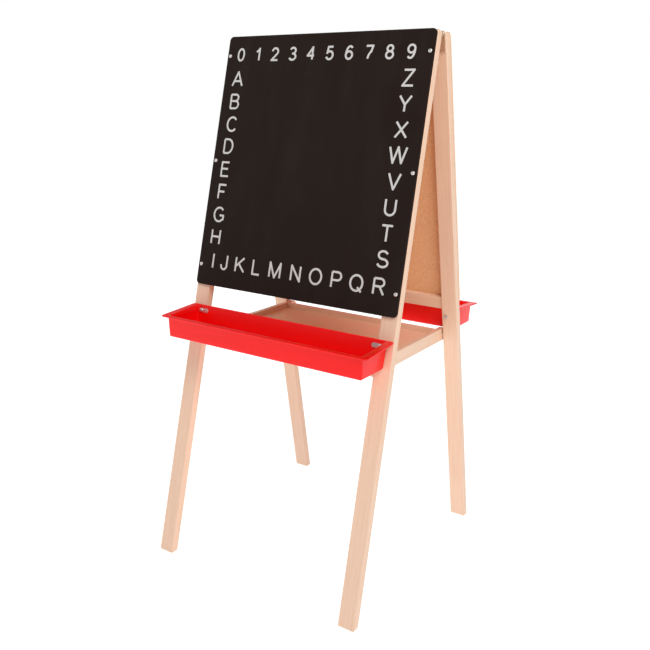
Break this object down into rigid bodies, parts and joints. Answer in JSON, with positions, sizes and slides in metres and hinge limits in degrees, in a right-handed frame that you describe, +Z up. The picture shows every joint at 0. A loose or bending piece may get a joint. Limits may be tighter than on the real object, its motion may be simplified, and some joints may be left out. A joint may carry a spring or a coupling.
{
  "type": "kids easel",
  "caption": "Double-sided A-frame easel for children: hinged leg frames, a chalkboard and a whiteboard, red moulded trays and a shelf between.",
  "frame": {"origin": "on the floor, at the centre of the easel between its four feet", "axes": "+Z up; +X to the right of someone facing the chalkboard; -Y is the way the chalkboard faces"},
  "size_m": [0.4996, 0.5422, 1.1156],
  "materials": {
    "pine": "clear satin lacquer",
    "beech": "bare",
    "chalkboard": "matt black chalkboard paint on hardboard",
    "whiteboard": "gloss white on hardboard, brown back",
    "hardboard": "smooth, lightly sealed",
    "red_plastic": "satin moulded",
    "zinc": "zinc plated",
    "brass": "plain"
  },
  "bodies": {
    "front_frame": {"front_ball_catch_left": "brass", "front_ball_catch_right": "brass", "front_board_screw_left_bottom": "zinc", "front_board_screw_left_middle": "zinc", "front_board_screw_left_top": "zinc", "front_board_screw_right_bottom": "zinc", "front_board_screw_right_middle": "zinc", "front_board_screw_right_top": "zinc", "front_chalkboard": "chalkboard", "front_leg_left": "pine", "front_leg_right": "pine", "front_tray": "red_plastic", "front_tray_bolt_left": "zinc", "front_tray_bolt_right": "zinc", "front_tray_nut_left": "zinc", "front_tray_nut_right": "zinc", "hinge_left_front_leaf": "zinc", "hinge_left_front_screw_lower": "zinc", "hinge_left_front_screw_upper": "zinc", "hinge_left_pin": "zinc", "hinge_right_front_leaf": "zinc", "hinge_right_front_screw_lower": "zinc", "hinge_right_front_screw_upper": "zinc", "hinge_right_pin": "zinc"},
    "rear_frame": {"hinge_left_rear_leaf": "zinc", "hinge_left_rear_screw_lower": "zinc", "hinge_left_rear_screw_upper": "zinc", "hinge_right_rear_leaf": "zinc", "hinge_right_rear_screw_lower": "zinc", "hinge_right_rear_screw_upper": "zinc", "rear_board_screw_left_bottom": "zinc", "rear_board_screw_left_middle": "zinc", "rear_board_screw_left_top": "zinc", "rear_board_screw_right_bottom": "zinc", "rear_board_screw_right_middle": "zinc", "rear_board_screw_right_top": "zinc", "rear_crossbar": "pine", "rear_crossbar_dowel_left": "beech", "rear_crossbar_dowel_right": "beech", "rear_leg_left": "pine", "rear_leg_right": "pine", "rear_tray": "red_plastic", "rear_tray_bolt_left": "zinc", "rear_tray_bolt_right": "zinc", "rear_tray_nut_left": "zinc", "rear_tray_nut_right": "zinc", "rear_whiteboard": "whiteboard", "shelf_pivot_screw_left": "zinc", "shelf_pivot_screw_right": "zinc", "shelf_spacer_left": "beech", "shelf_spacer_right": "beech"},
    "shelf": {"shelf_lip_front": "pine", "shelf_lip_rear": "pine", "shelf_panel": "hardboard", "shelf_rail_left": "pine", "shelf_rail_right": "pine", "shelf_strike_left": "brass", "shelf_strike_right": "brass"}
  },
  "joints": [
    {"name": "frame_fold", "type": "hinge", "parent": "front_frame", "child": "rear_frame", "pos_m": [0, 0, 1.109], "axis": [-1, 0, 0], "range_deg": [0, 24.9]},
    {"name": "shelf_pivot", "type": "hinge", "parent": "rear_frame", "child": "shelf", "pos_m": [0, 0.15686, 0.47604], "axis": [1, 0, 0], "range_deg": [0, 102.4]}
  ],
  "couplings": [
    {"joint": "shelf_pivot", "follows": "frame_fold", "ratio": 4.11}
  ]
}
